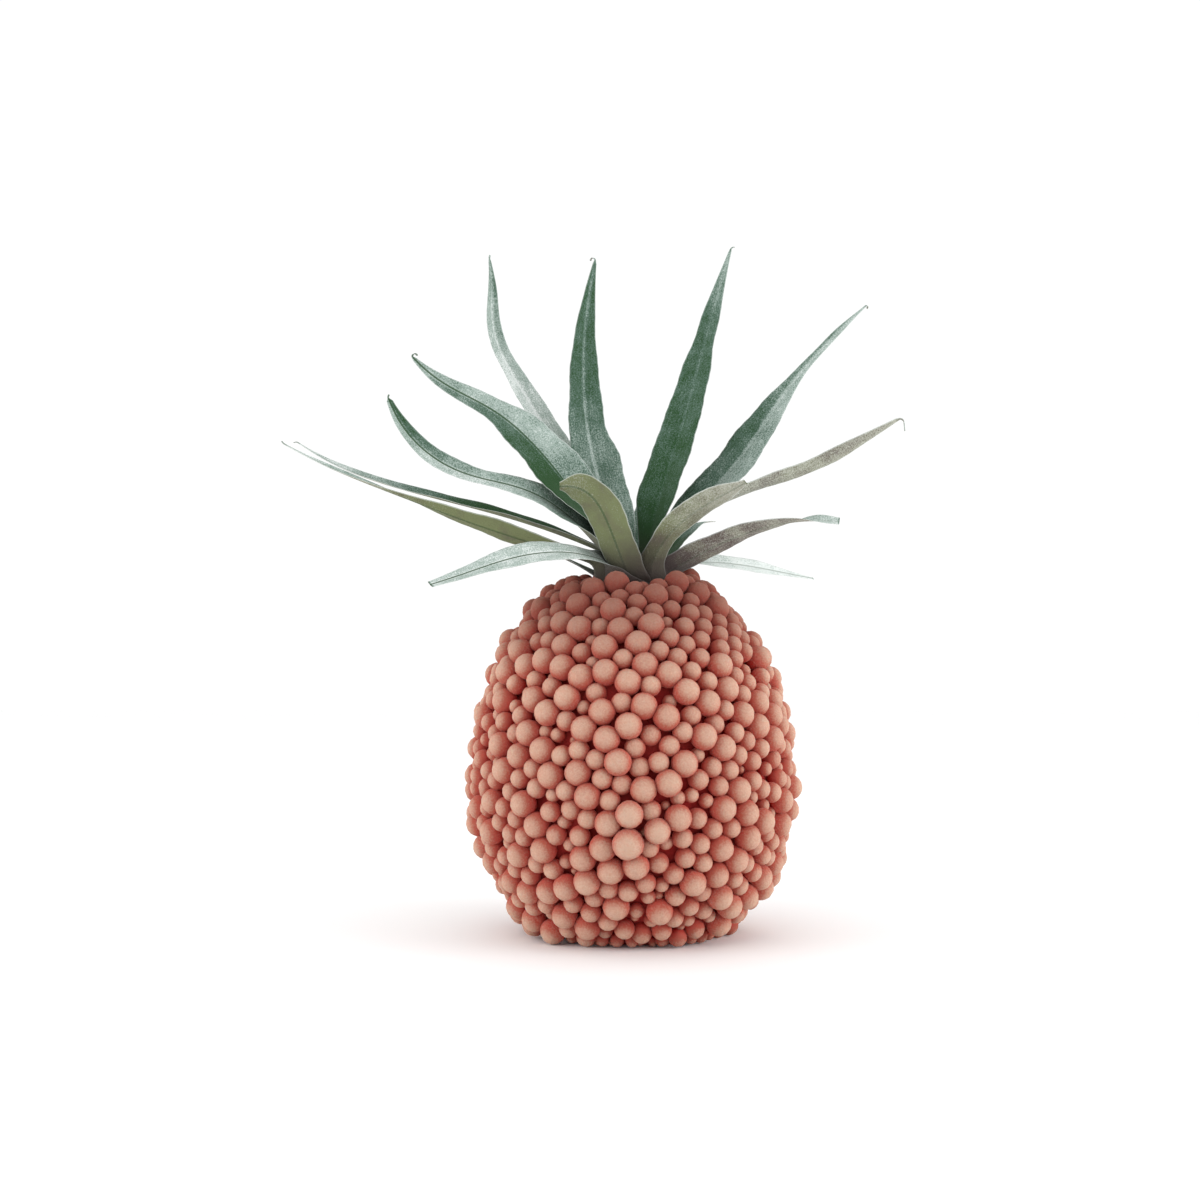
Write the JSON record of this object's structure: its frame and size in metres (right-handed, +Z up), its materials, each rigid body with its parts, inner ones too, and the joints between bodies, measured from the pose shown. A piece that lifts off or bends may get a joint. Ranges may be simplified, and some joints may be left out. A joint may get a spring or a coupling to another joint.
{
  "type": "flocked pineapple ornament",
  "caption": "Flocked pineapple ornament: a red foam body coated with glued salmon foam beads, and a crown of long frosted green fabric leaves on top",
  "frame": {"origin": "centre of the flat underside of the foam body, on the surface that the ornament stands on", "axes": "+Z up along the body's axis, -Y towards the side seen in the picture, +X to the right in it"},
  "size_m": [0.2789, 0.167, 0.3132],
  "materials": {
    "core": "matte flock on foam",
    "beads": "matte flock",
    "leaves": "frosted flock"
  },
  "bodies": {
    "root": {"foam_core": "core", "bead_coat": "beads", "leaf_front_short": "leaves", "leaf_front_right_short": "leaves", "leaf_right_low": "leaves", "leaf_back_right_drooping": "leaves", "leaf_back_right_low": "leaves", "leaf_back_left_low": "leaves", "leaf_left_under": "leaves", "leaf_left_low_front": "leaves", "leaf_front_left_drooping": "leaves", "leaf_right_middle": "leaves", "leaf_right_high": "leaves", "leaf_back_low": "leaves", "leaf_left_low_back": "leaves", "leaf_left_middle": "leaves", "leaf_left_high": "leaves", "leaf_back_left_tall": "leaves", "leaf_back_tall_left": "leaves", "leaf_back_tall_right": "leaves"}
  },
  "joints": []
}
